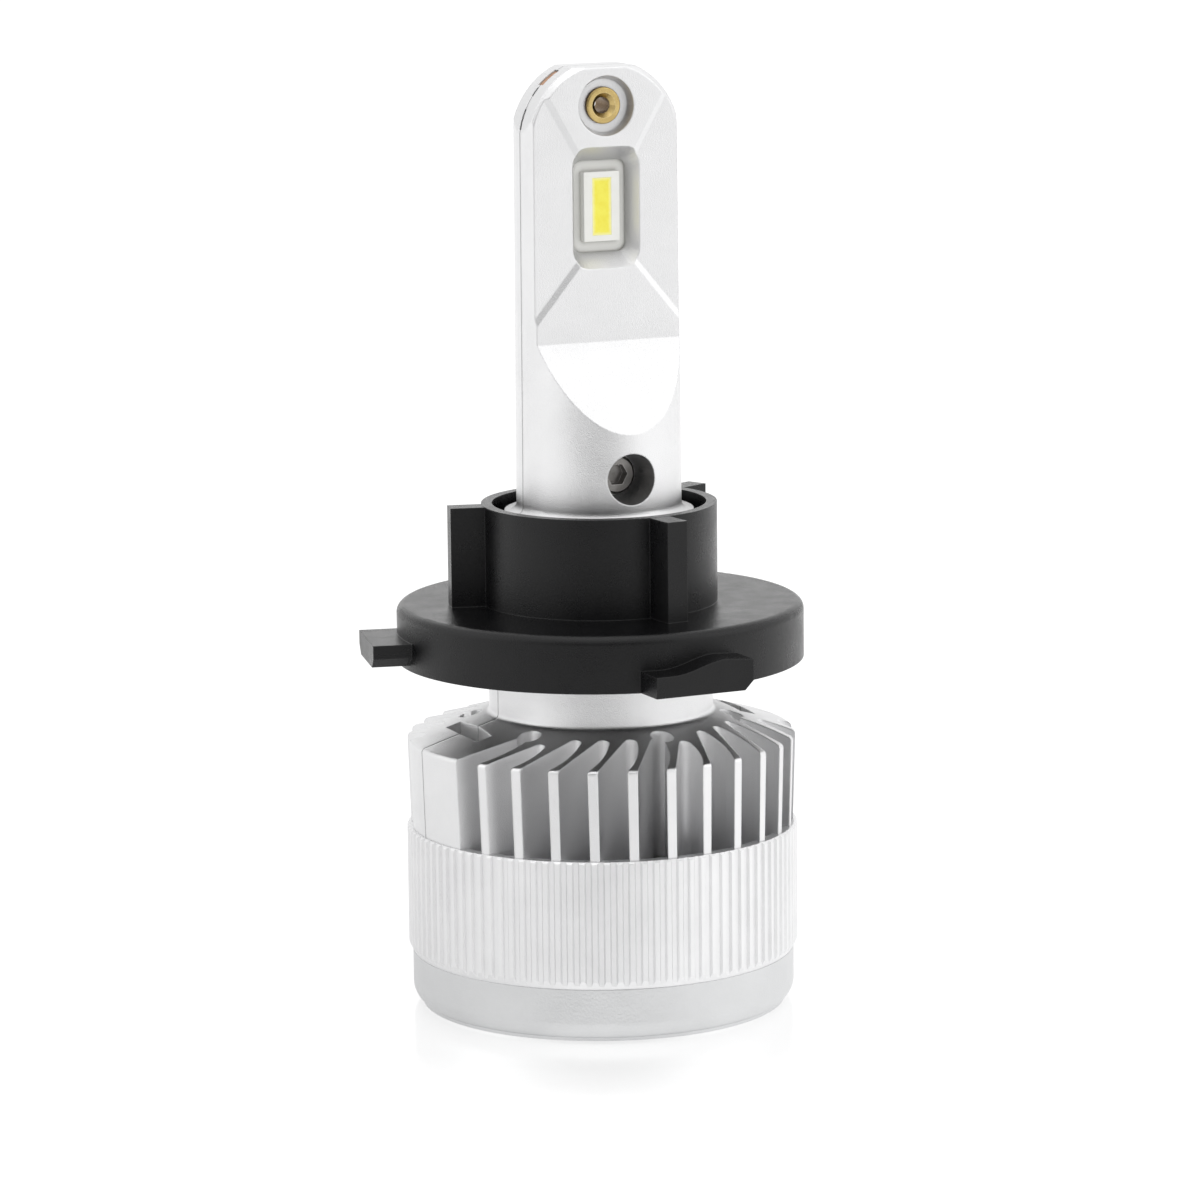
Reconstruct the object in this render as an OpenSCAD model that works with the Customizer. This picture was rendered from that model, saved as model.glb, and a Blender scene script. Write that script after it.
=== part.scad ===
// LED headlight bulb: cast aluminium halves round a copper board, twist-lock collar, fan in the base.
// Origin on the bulb's axis in the base plane, +Z up to the tip, front LED facing -Y.

/* [Stack of heights] */
// Visible height of the end cap, from the base plane to the grip ring
cap_h = 6; // [5.5:0.1:8]
// Height of the knurled grip ring
ring_h = 14.4; // [12:0.1:18]
// Straight side of the fins above the ring
fin_side_h = 10.1; // [7:0.1:14]
// Rise of the coned top from the fin edge to the neck
cone_h = 2.7; // [2:0.1:5]
// Height of the round neck between cone and collar
neck_h = 6.1; // [4:0.1:10]
// Thickness of the collar's flange
flange_t = 6.3; // [5:0.1:8]
// Height of the collar's tube above its flange
tube_h = 11.2; // [9:0.1:15]
// How far the spigot's end lies below the tube's rim
spigot_drop = 0.8; // [0.2:0.1:2]
// Round post from the spigot to the start of the slanted cut
post_h = 9.4; // [8:0.1:15]
// Height of the slanted cut from the round post to the flat paddle
cut_h = 9.8; // [6:0.1:14]
// Height of the flat paddle
paddle_h = 30.3; // [28.5:0.1:36]

/* [Post and paddle] */
// Radius of the post where it leaves the spigot
post_r = 9.25; // [9:0.05:9.6]
// Half width of the paddle at its tip, a little less for draft
tip_r = 9.05; // [8.9:0.05:9.2]
// Radius of the arched tip
arch_r = 9.15; // [9.1:0.05:9.6]
// How much the top of the arch is flattened
arch_flat = 0.8; // [0.6:0.05:0.9]
// Chamfer along the arch's edges
arch_chamfer = 0.6; // [0.3:0.05:0.8]
// Chamfer along the edges of the flat top
flat_chamfer = 0.2; // [0.1:0.05:0.4]
// Thickness of the paddle across both faces
paddle_t = 6.1; // [5.6:0.1:7]
// Depth of the side panels beside the LED window
panel_depth = 0.3; // [0.1:0.05:0.6]
// Width of the bevel round the side panels
panel_bevel = 0.6; // [0.3:0.05:1]
// How far inside the window's side the panels' edges start
panel_in = 0.7; // [0.4:0.05:1]
// How far below the window's top the upper edges start
panel_high = 1.3; // [0.8:0.1:1.6]
// How far above the window's foot the lower edges start
panel_low = 1; // [0.6:0.1:1.4]
// Slope of the panels' upper edges
panel_rise = 60; // [45:1:70]
// Slope of the panels' lower edges
panel_fall = 50; // [40:1:60]
// Radius of the fillet at the post's foot
post_fillet = 0.8; // [0.3:0.1:1.2]

/* [LED window] */
// Height of the LED's centre below the tip
led_drop = 15.5; // [14.8:0.1:16]
// Width of the window at the paddle's face
window_w = 8.4; // [7.6:0.1:9]
// Height of the window at the paddle's face
window_h = 13.5; // [12:0.1:14]
// Width of the window at the foot of its sloping sides
throat_w = 6.3; // [5.6:0.1:7]
// Height of the window at the foot of its sloping sides
throat_h = 10.2; // [9.6:0.1:11]
// Straight wall between the sloping sides and the board
throat_t = 0.4; // [0.1:0.05:0.6]
// Corner radius of the window
window_corner = 2; // [0.4:0.1:2.2]
// Corner radius at the foot of the sloping sides
throat_corner = 1; // [0.4:0.1:1.4]
// Width of the LED package
led_w = 4.3; // [3:0.1:5]
// Height of the LED package
led_h = 7.7; // [6:0.1:9]
// Thickness of the LED package
led_t = 1; // [0.6:0.1:1.4]
// Width of the phosphor strip
phosphor_w = 2.3; // [1.5:0.1:2.8]
// Height of the phosphor strip
phosphor_h = 6.4; // [4:0.1:6.6]
// Depth of the phosphor's seat in the package
phosphor_t = 0.35; // [0.2:0.05:0.5]

/* [Tip rivet and clamp screw] */
// Height of the rivet's centre below the tip
rivet_drop = 4.3; // [4.1:0.1:4.6]
// Radius of the round recess round the rivet
recess_r = 3.35; // [3:0.05:3.5]
// Depth of that recess
recess_depth = 1.1; // [0.6:0.05:1.2]
// How much narrower the recess is at its floor
recess_draft = 0.4; // [0.1:0.05:0.6]
// Radius of the rivet's rolled head
rivet_head_r = 2.05; // [1.9:0.05:2.5]
// Thickness of the rivet's rolled head
rivet_head_t = 0.45; // [0.3:0.05:0.5]
// Outer radius of the rivet's tube
rivet_r = 1.7; // [1.55:0.05:1.8]
// Bore radius of the rivet
rivet_bore_r = 0.9; // [0.8:0.05:1.2]
// How much the rivet's bore flares at its mouths
rivet_flare = 0.5; // [0.1:0.05:0.5]
// Height of the clamp screw above the spigot's end
screw_rise = 4.5; // [4:0.1:5.5]
// Radius of the clamp screw's counterbore
counterbore_r = 2.85; // [2.8:0.05:3.1]
// Radius of the clamp screw's head
screw_head_r = 2.2; // [2:0.05:2.7]
// Height of the clamp screw's head
screw_head_h = 2.5; // [2:0.1:3.5]
// Radius of the clamp screw's shank
screw_r = 1.25; // [1.1:0.05:1.5]
// Key size of the clamp screw's hexagon socket
hex_key = 2.2; // [1.5:0.1:2.5]
// Metal between the screw's seat and the copper board
seat_wall = 1.9; // [0.6:0.1:2.5]
// Clearance round every screw shank and rivet
screw_gap = 0.05; // [0.02:0.01:0.1]

/* [Copper board] */
// Thickness of the copper board
board_t = 1.2; // [0.8:0.1:1.6]
// Rim of the castings that covers the board's edge
board_inset = 0.8; // [0.6:0.1:1]
// Width of the board's tail in the driver chamber
tail_w = 11; // [9:0.1:13]
// Length of the tail below the chamber's roof
tail_len = 6; // [4:0.1:7]
// Clearance round the board's edge
board_gap = 0.05; // [0.02:0.01:0.1]
// Angle on the arch where the board's ear starts, from the horizontal
ear_from = 45; // [44:1:48]
// Angle on the arch where the board's ear ends
ear_to = 60; // [56:1:64]
// Angle left free at both ends of the ear
ear_gap = 0.5; // [0.2:0.1:1]
// How far the ear's end stays below the arch
ear_drop = 0.15; // [0.05:0.05:0.4]

/* [Heat sink] */
// Outer radius of the fins at their upper end
fin_r = 21.85; // [21.6:0.05:22]
// How much narrower the fins are at the ring, for draft
fin_draft = 0.3; // [0:0.05:0.4]
// Rounding of the outer top edge
fin_edge_r = 0.5; // [0.2:0.1:1]
// Fillet where the cone meets the neck
neck_fillet = 0.6; // [0.2:0.1:1]
// Radius of the neck
neck_r = 12.6; // [12.4:0.05:13]
// Angle from one fin slot to the next
slot_pitch = 11.5; // [11.3:0.05:11.8]
// Number of fin slots in each half
slot_count = 13; // [11:1:13]
// Angle of the first fin slot, from the front towards +X
slot_first = -66.9; // [-69:0.1:-66]
// Angle that a slot takes at the rim
slot_open = 8.6; // [8:0.05:9.1]
// How far a slot's inner end runs round from its mouth
slot_sweep = 9; // [7:0.1:10]
// Distance from the axis to a slot's round inner end
slot_end = 14.8; // [14.4:0.1:15.4]
// Radius of a slot's round inner end
slot_tip_r = 0.7; // [0.5:0.05:0.8]
// Extra length of metal behind the two short slots of a half
short_by = 1.4; // [0.5:0.1:2]
// Extra length of metal behind the last slot but one of a half
late_by = 2.8; // [2:0.1:3.4]
// Extra length of metal behind the last slot of a half
last_by = 5; // [4:0.1:5.2]
// Radius of the last slot's broad inner end
last_tip_r = 1.1; // [0.8:0.05:1.2]
// Bulge of a slot's curved side
slot_bulge = 1; // [0.5:0.1:1.4]
// Distance from the axis to the cap screws' bores
bore_ring_r = 14.7; // [14.6:0.05:15]
// Angle of the first cap screw bore, from the front towards +X
bore_first = 3.2; // [2:0.1:5]
// Distance from the axis to the middle of the core pockets
pocket_x = 16.2; // [15.9:0.1:16.4]
// Width of the core pockets at the parting plane
pocket_w = 2.3; // [1.8:0.1:2.6]
// Draft of each side of the core pockets, from the parting plane to their ends
pocket_draft = 0.25; // [0.1:0.05:0.4]
// Length of the core pockets across the parting plane
pocket_len = 8.8; // [7:0.1:9.4]
// Depth of the core pockets
pocket_depth = 12; // [6:0.5:14]
// Radius of the air space under the fins
plenum_r = 18.4; // [17.6:0.1:18.6]
// Height of the air space under the fins
plenum_h = 3.2; // [2.4:0.1:4]
// Radius of the bosses round the cap screws' bores
boss_r = 2.4; // [2.2:0.1:2.6]
// Radius of the driver chamber
chamber_r = 11.3; // [10.8:0.1:11.6]
// Height of the driver chamber
chamber_h = 12.4; // [12:0.1:14]

/* [Collar] */
// Outer radius of the collar's tube
tube_r = 13.2; // [13.1:0.05:13.6]
// Bore radius of the collar
collar_bore_r = 12; // [11.9:0.05:12.1]
// Running clearance between the spigot and the collar's bore
collar_gap = 0.08; // [0.02:0.01:0.1]
// Outer radius of the collar's flange
flange_r = 22.85; // [22:0.05:24]
// Rounding of the flange's upper edge
flange_edge_r = 1; // [0.5:0.1:1.5]
// Wall of the moulded flange round its hollow underside
flange_wall = 2.2; // [1.8:0.1:2.6]
// Angles of the ribs on the tube, from the front towards +X
rib_angles = [-103.8, 6.2, 114.6];
// Distance from the axis to the ribs' outer faces
rib_r = 17; // [16:0.1:18]
// Thickness of the ribs
rib_w = 2.5; // [1.5:0.1:3]
// Angles of the two plain keys, from the front towards +X
key_angles = [-102.8, 114.6];
// Distance from the axis to the keys' outer faces
key_r = 26.6; // [25:0.1:28]
// Width of the plain keys
key_w = 10.2; // [6:0.1:12]
// Height of the plain keys
key_h = 2.6; // [2.3:0.1:4.5]
// Height of the plain keys' underside above the flange's underside
key_lift = 0.55; // [0.1:0.05:1]
// Chamfer on the keys' lower edges
key_chamfer = 1.1; // [0.4:0.1:1.4]
// Angle of the ramp key
ramp_angle = 1.5; // [-4:0.1:4]
// Distance from the axis to the ramp key's outer face
ramp_r = 26.2; // [25:0.1:28]
// Sideways shift of the ramp key
ramp_shift = 0.05; // [-2:0.05:2]
// Width of the ramp key
ramp_w = 11.7; // [10:0.1:14]
// Height of the ramp key's low end
ramp_low = 2.4; // [1.5:0.1:3]
// Height of the ramp key's high end
ramp_high = 3.7; // [3.2:0.1:4.5]
// How much the ramp drops again towards its far end
ramp_drop = 0.3; // [0:0.05:0.6]
// Number of webs in the flange's hollow underside
web_count = 9; // [6:1:12]
// Thickness of those webs
web_t = 1.2; // [0.8:0.1:1.6]

/* [Seal] */
// Radius of the spigot above the seal's shoulder
seal_seat_r = 10.6; // [10.4:0.05:10.8]
// Height of the seal's shoulder below the spigot's end
seal_drop = 6; // [4:0.1:8]
// Clearance between the seal and the collar's bore
seal_gap = 0.04; // [0.02:0.01:0.08]

/* [Grip ring and end cap] */
// Radius over the ring's ribs
ring_r = 22.02; // [21.9:0.02:22.4]
// Depth of the grooves between the ribs
knurl_depth = 0.28; // [0.15:0.01:0.4]
// Number of ribs round the ring
knurl_count = 100; // [60:1:110]
// Bore radius of the ring
ring_bore_r = 20.6; // [20.4:0.05:20.8]
// Chamfer on the ring's edges
ring_chamfer = 0.5; // [0.2:0.05:0.8]
// Radius of the end cap
cap_r = 21.58; // [21.4:0.02:21.8]
// Rounding of the cap's lower edge
cap_edge_r = 2.2; // [1.5:0.1:2.6]
// Thickness of the cap's floor
cap_floor = 1.6; // [1.2:0.1:1.8]
// Inner radius of the cap's wall
cap_bore_r = 19.4; // [19.3:0.05:19.6]
// Height of the lip that locates the cap in the ring
lip_h = 1.6; // [1:0.1:2.5]
// Clearance between pressed metal rings
ring_gap = 0.05; // [0.02:0.01:0.1]
// Space between the cap's floor and the fan
intake_gap = 1.8; // [1.4:0.1:2.4]
// Radius of the solid middle of the intake grille
grille_hub_r = 4; // [3:0.1:5]
// Width of the grille's ring slots
grille_slot = 1.7; // [1.2:0.1:2]
// Width of the bars between the ring slots
grille_bar = 1.3; // [1:0.1:1.6]
// Number of grille ring slots
grille_rings = 3; // [2:1:3]
// Number of grille spokes
grille_spokes = 6; // [4:1:8]
// Radius of the cap screws' shanks
cap_screw_r = 1.25; // [1.1:0.05:1.3]
// Radius of the cap screws' heads
cap_head_r = 2.2; // [1.9:0.05:2.3]
// Height of the cap screws' heads
cap_head_h = 1.5; // [1:0.1:1.6]
// How deep the heads lie below the base plane
cap_head_sink = 0.3; // [0.1:0.05:0.6]
// Length of the cap screws' shanks
cap_screw_len = 17; // [14:0.5:20]

/* [Cable inlet] */
// Radius of the grommet's body in the cap's wall
grommet_r = 1.85; // [1.6:0.05:1.9]
// How much the grommet's collar is wider than its body
grommet_lip = 0.3; // [0.2:0.05:0.35]
// Thickness of the grommet's collar outside the cap
grommet_lip_t = 0.6; // [0.4:0.05:0.8]
// Bore radius for the cord
grommet_bore_r = 1.3; // [1:0.05:1.4]

/* [Fan] */
// Height of the fan
fan_h = 8; // [7.8:0.1:9]
// Outer radius of the fan's flanges
fan_r = 19; // [18:0.1:19.2]
// Radius of the fan's air bore
fan_bore_r = 12.2; // [11.9:0.05:12.3]
// Wall round the air bore
fan_wall = 0.8; // [0.6:0.05:0.9]
// Thickness of the fan's two flanges
fan_flange_t = 1.2; // [0.8:0.1:1.6]
// Clearance between the blade tips and the air bore
tip_gap = 0.4; // [0.3:0.05:0.8]
// Outer radius of the rotor's hub
hub_r = 6.7; // [6.6:0.05:7]
// Wall of the rotor's hub
hub_wall = 0.6; // [0.4:0.05:0.8]
// Wall of the steel rotor cup
cup_wall = 0.4; // [0.3:0.05:0.5]
// Wall of the ring magnet
magnet_wall = 0.8; // [0.6:0.05:1]
// Air gap between the magnet and the stator
air_gap = 0.3; // [0.2:0.05:0.4]
// Space between the rotor and the fan frame along the axis
rotor_gap = 0.5; // [0.4:0.05:0.8]
// Thickness of the hub's end plate
hub_plate = 0.7; // [0.5:0.05:1]
// Number of blades
blade_count = 9; // [5:1:9]
// Pitch of the blades from the fan's plane
blade_pitch = 38; // [30:1:45]
// Thickness of the blades
blade_t = 0.6; // [0.4:0.05:0.8]
// Thickness of the motor's base plate and of its struts
base_t = 1; // [0.8:0.05:1.3]
// Number of struts
strut_count = 3; // [3:1:5]
// Width of the struts
strut_w = 1.6; // [1:0.1:2.2]
// Radius of the shaft
shaft_r = 0.75; // [0.6:0.05:0.85]
// Running clearance between shaft and bearing
bearing_gap = 0.03; // [0.01:0.01:0.05]
// Outer radius of the bearing
bearing_r = 1.6; // [1.4:0.05:1.7]
// Outer radius of the bearing tube
post_tube_r = 2.2; // [2.1:0.05:2.4]
// Height of the stator's stack
stator_h = 2.4; // [2:0.1:2.6]
// Thickness of a coil round its pole
coil_t = 0.45; // [0.3:0.05:0.5]
// Thickness of the fan's circuit board
fan_board_t = 0.5; // [0.4:0.05:0.6]
// Radius of the two fan leads
lead_r = 0.4; // [0.3:0.05:0.45]

/* [Driver] */
// Thickness of the driver board
driver_t = 1.2; // [0.8:0.1:1.6]
// How deep the castings hold the board's rim
driver_grip = 0.7; // [0.4:0.1:0.9]
// Height of the board above the air space
driver_lift = 0.8; // [0.5:0.1:1.2]
// Radius of the power inductor
inductor_r = 3.1; // [2.5:0.1:3.3]
// Height of the power inductor
inductor_h = 4; // [3:0.1:5]
// Distance of the inductor behind the axis
inductor_y = 5.6; // [5.4:0.1:6.4]
// Radius of the capacitors
capacitor_r = 1.9; // [1.5:0.1:2]
// Height of the capacitors
capacitor_h = 5.2; // [4:0.1:6.5]
// Half the space between the two capacitors
capacitor_gap = 0.6; // [0.2:0.1:0.9]
// Distance of the capacitors in front of the axis
capacitor_y = 6.4; // [6:0.1:6.8]
// Side of the square contact pins
pin_w = 0.6; // [0.5:0.05:0.7]
// Spacing of the contact pins
pin_pitch = 2.54; // [2:0.01:2.6]
// How far the pins lie against the board's tail
pin_lap = 2.2; // [1.5:0.1:3]
// Distance from the axis to the middle of the driver's chips
chip_x = 7.2; // [6.6:0.1:7.6]
// Distance of the controller chips behind the axis
chip_y = 2.7; // [2.7:0.1:3]
// Width of the controller chips
chip_w = 3; // [2:0.1:3.2]
// Length of the controller chips
chip_l = 3.6; // [2.5:0.1:4]
// Thickness of the controller chips
chip_t = 1.2; // [0.8:0.1:1.6]
// Width of the small chips
small_chip_w = 2.6; // [1.5:0.1:3]
// Length of the small chips
small_chip_l = 2.2; // [1.5:0.1:2.6]
// Thickness of the small chips
small_chip_t = 1; // [0.6:0.1:1.3]
// Distance of the small chips in front of the axis
small_chip_y = 3.3; // [3:0.1:3.8]

/* [Hidden] */
$fn = 96;

// Heights above the base plane
ring_z = cap_h;
fin_step_z = ring_z + ring_h;
cone_z = fin_step_z + fin_side_h;
neck_z = cone_z + cone_h;
flange_z = neck_z + neck_h;
tube_z = flange_z + flange_t;
tube_top_z = tube_z + tube_h;
spigot_z = tube_top_z - spigot_drop;
cut_z = spigot_z + post_h;
paddle_z = cut_z + cut_h;
tip_z = paddle_z + paddle_h;
led_z = tip_z - led_drop;
rivet_z = tip_z - rivet_drop;
screw_z = spigot_z + screw_rise;
seal_z = spigot_z - seal_drop;
arc_z = tip_z - arch_r + arch_flat;

// Fan and driver stack
fan_z = cap_floor + intake_gap;
sink_z = fan_z + fan_h;
plenum_z = sink_z + plenum_h;
driver_z = plenum_z + driver_lift;
driver_top_z = driver_z + driver_t;
roof_z = plenum_z + chamber_h;
tail_z = roof_z - tail_len;
driver_r = chamber_r + driver_grip;

// Radii that follow from their neighbours
sink_foot_r = ring_bore_r - ring_gap;
lip_r = ring_bore_r - ring_gap;
spigot_r = collar_bore_r - collar_gap;
seal_wire_r = (collar_bore_r - seal_gap - seal_seat_r) / 2;
board_half = board_t / 2;
face_y = paddle_t / 2;
throat_y = board_half + throat_t;
recess_y = face_y - recess_depth;
screw_seat_y = board_half + seat_wall;
cap_hole_r = cap_screw_r + screw_gap;
inlet_z = (cap_floor + cap_h) / 2;
bore_pitch = 360 / 6;
inlet_angle = bore_first + 2.5 * bore_pitch;
overcut = 1;
eps = 0.01;

// Turns a shape drawn along +X so that it points at an angle from the front (-Y) towards +X
module aim(angle) {
    rotate([0, 0, angle - 90]) children();
}

// Plate in the XZ plane, from y = 0 towards -Y
module plate(thickness) {
    rotate([90, 0, 0]) linear_extrude(height = thickness) children();
}

// Rectangle with round corners, centred
module round_rect(w, h, r) {
    square([w - 2 * r, h], center = true);
    square([w, h - 2 * r], center = true);
    for (x = [-1, 1])
        for (y = [-1, 1])
            translate([x * (w / 2 - r), y * (h / 2 - r)]) circle(r = r);
}

// ---------------------------------------------------------------- heat sink halves

function bend(p0, p1, p2, t) =
    (1 - t) * (1 - t) * p0 + 2 * t * (1 - t) * p1 + t * t * p2;
function spot(r, angle) = [r * cos(angle), r * sin(angle)];

slot_side_steps = 6;
slot_tip_steps = 8;
bulge_way = [0.25, 0.97]; // direction in which a slot's curved side bulges

// Extra metal behind the inner end of slot k
function slot_short(k) = (k == 1 || k == 6) ? short_by : (k == 11 ? late_by : (k == 12 ? last_by : 0));

// Outline of one fin slot: open mouth at the rim on +X, straight side, round inner end, curved side
module fin_slot(inner_end, tip_r) {
    half = slot_open / 2;
    reach = (fin_r - inner_end) / (fin_r - slot_end);
    tip = spot(inner_end + tip_r, slot_sweep * reach);
    mouth_far = spot(fin_r, -half);
    mouth_near = spot(fin_r, half);
    lean = atan2(tip[1] - tip_r - mouth_far[1], mouth_far[0] - tip[0]);
    curve_end = tip + [0, tip_r];
    middle = (mouth_near + curve_end) / 2 + slot_bulge * reach * bulge_way;
    polygon(concat(
        [[fin_r + overcut, mouth_far[1] - overcut * tan(lean)], tip + tip_r * spot(1, -90 - lean)],
        [for (i = [1 : slot_tip_steps])
            tip + tip_r * spot(1, -90 - lean - (180 - lean) * i / slot_tip_steps)],
        [for (i = [1 : slot_side_steps]) bend(curve_end, middle, mouth_near, i / slot_side_steps)],
        [[fin_r + overcut, mouth_near[1] + eps]]
    ));
}

// Profile of the finned body, cone and neck, for turning about Z
module sink_profile() {
    slope = atan2(cone_h, fin_r - neck_r);
    edge = [fin_r - fin_edge_r, cone_z + fin_edge_r * (tan(slope) - 1 / cos(slope))];
    foot = [neck_r + neck_fillet, neck_z + neck_fillet * (1 / cos(slope) - tan(slope))];
    difference() {
        union() {
            translate([0, sink_z]) square([sink_foot_r, fin_step_z - sink_z + eps]);
            polygon([
                [0, fin_step_z], [fin_r - fin_draft, fin_step_z], [fin_r, edge[1]],
                edge, edge + fin_edge_r * spot(1, 90 - slope), [neck_r, neck_z], [0, neck_z]
            ]);
            translate(edge) circle(r = fin_edge_r);
            // fillet at the neck's foot
            difference() {
                polygon([
                    [0, neck_z], [neck_r, neck_z], foot - neck_fillet * spot(1, 90 - slope),
                    foot, [neck_r, foot[1]], [0, foot[1]]
                ]);
                translate(foot) circle(r = neck_fillet);
            }
            translate([0, neck_z - eps]) square([neck_r, neck_h + eps]);
            translate([0, flange_z - eps]) square([spigot_r, seal_z - flange_z + eps]);
            translate([0, seal_z - eps]) square([seal_seat_r, seal_drop + eps]);
        }
        translate([0, sink_z - overcut]) square([plenum_r, plenum_h + overcut]);
        translate([0, plenum_z - eps]) square([chamber_r, chamber_h + eps]);
        translate([0, driver_z]) square([driver_r, driver_t]);
    }
}

// Round post with the slanted cuts, the flat faces and the arched tip
module post_body() {
    post_len = tip_z - spigot_z;
    difference() {
        intersection() {
            union() {
                translate([0, 0, spigot_z - eps]) cylinder(r1 = post_r, r2 = tip_r, h = post_len + eps);
                rotate_extrude() difference() {
                    translate([0, spigot_z - eps]) square([post_r + post_fillet, post_fillet + eps]);
                    translate([post_r + post_fillet, spigot_z + post_fillet]) circle(r = post_fillet);
                }
            }
            translate([0, post_r + post_fillet, 0]) plate(2 * (post_r + post_fillet)) {
                translate([-post_r - post_fillet, spigot_z - eps])
                    square([2 * (post_r + post_fillet), arc_z - spigot_z]);
                intersection() {
                    translate([0, arc_z]) circle(r = arch_r);
                    translate([-arch_r, arc_z - eps]) square([2 * arch_r, tip_z - arc_z + eps]);
                }
            }
        }
        // chamfers along both edges of the arch
        for (turn = [0, 180])
            rotate([0, 0, turn]) difference() {
                translate([-2 * arch_r, arch_chamfer - face_y, arc_z]) plate(2 * arch_chamfer)
                    square([4 * arch_r, 2 * arch_r]);
                translate([0, arch_chamfer - face_y, arc_z]) rotate([90, 0, 0])
                    cylinder(r1 = arch_r, r2 = arch_r - 2 * arch_chamfer, h = 2 * arch_chamfer);
            }
        for (side = [-1, 1])
            rotate([90, 0, 90]) translate([0, 0, -post_r - overcut])
                linear_extrude(height = 2 * (post_r + overcut))
                    polygon([
                        [side * (face_y - flat_chamfer - overcut), tip_z + overcut],
                        [side * face_y, tip_z - flat_chamfer], [side * face_y, paddle_z],
                        [side * (post_r + overcut), cut_z - overcut * cut_h / (post_r - face_y)],
                        [side * (post_r + overcut), tip_z + overcut]
                    ]);
    }
}

// Recessed side panel at +X of the front face: a floor with a narrow bevel along both slanting edges
module panel_cut() {
    waist = window_w / 2 - panel_in;
    high = led_z + window_h / 2 - panel_high;
    low = led_z - window_h / 2 + panel_low;
    run = 2 * tip_r;
    wedge = (panel_depth + overcut) * panel_bevel / panel_depth;
    translate([0, panel_depth - face_y, 0]) plate(panel_depth + overcut) polygon([
        [waist, low], [waist, high], [waist, high] + run * spot(1, panel_rise),
        [run, high], [waist, low] + run * spot(1, -panel_fall)
    ]);
    for (line = [[high, panel_rise, 0], [low, -panel_fall, 1]])
        translate([waist, -face_y, line[0]]) rotate([0, -line[1], 0]) mirror([0, 0, line[2]])
            rotate([90, 0, 90]) linear_extrude(height = run) polygon([
                [panel_depth, -panel_bevel], [panel_depth, 0], [-overcut, wedge],
                [-overcut, -panel_bevel]
            ]);
}

// Outline of the copper board, in the XZ plane
module board_outline(gap) {
    r = tip_r - board_inset + gap;
    translate([0, arc_z]) intersection() {
        circle(r = arch_r - board_inset + gap);
        translate([-r, -arch_r]) square([2 * r, arch_r + tip_z - arc_z - board_inset + gap]);
    }
    translate([-r, flange_z - gap]) square([2 * r, arc_z - flange_z + gap]);
    translate([-tail_w / 2 - gap, roof_z - tail_len - gap])
        square([tail_w + 2 * gap, flange_z - roof_z + tail_len + overcut]);
}

// Sector of the arched tip between two angles from the horizontal, on both sides
module rim_sector(from, to, r_in, r_out) {
    for (side = [0, 1])
        mirror([side, 0]) translate([0, arc_z]) intersection() {
            difference() {
                circle(r = r_out);
                circle(r = r_in);
            }
            polygon([[0, 0], 2 * r_out * spot(1, from), 2 * r_out * spot(1, to)]);
        }
}

rim_gaps = [[10, 25], [35, 42]]; // angles between which the two gaps below the ear lie
rim_gap_half = 0.2; // how far those gaps reach into each casting
ear_root = 0.5; // how far the ear reaches into the board

// Slot in a casting's rim through which the board's ear shows, and the two narrow gaps below it
module rim_slots() {
    inside = arch_r - board_inset - eps;
    translate([0, eps, 0]) {
        plate(board_half + eps) rim_sector(ear_from - ear_gap, ear_to + ear_gap, inside, arch_r + overcut);
        plate(rim_gap_half + eps) for (gap = rim_gaps)
            rim_sector(gap[0], gap[1], inside, arch_r + overcut);
    }
}

// Funnel in front of the LED, open towards -Y
module led_window() {
    translate([0, 0, led_z]) {
        hull() {
            translate([0, -face_y - 2 * eps, 0]) rotate([90, 0, 0]) linear_extrude(height = eps)
                round_rect(window_w, window_h, window_corner, $fn = 24);
            translate([0, -throat_y, 0]) rotate([90, 0, 0]) linear_extrude(height = eps)
                round_rect(throat_w, throat_h, throat_corner, $fn = 24);
        }
        translate([0, -board_half + eps, 0])
            plate(throat_t + 2 * eps) round_rect(throat_w, throat_h, throat_corner, $fn = 24);
    }
}

// Core pocket in plan, widest at the parting plane
module core_pocket() {
    half = pocket_w / 2;
    end = half - pocket_draft;
    polygon([
        [-half, 0], [-end, -pocket_len / 2], [end, -pocket_len / 2],
        [half, 0], [end, pocket_len / 2], [-end, pocket_len / 2]
    ]);
}

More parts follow.
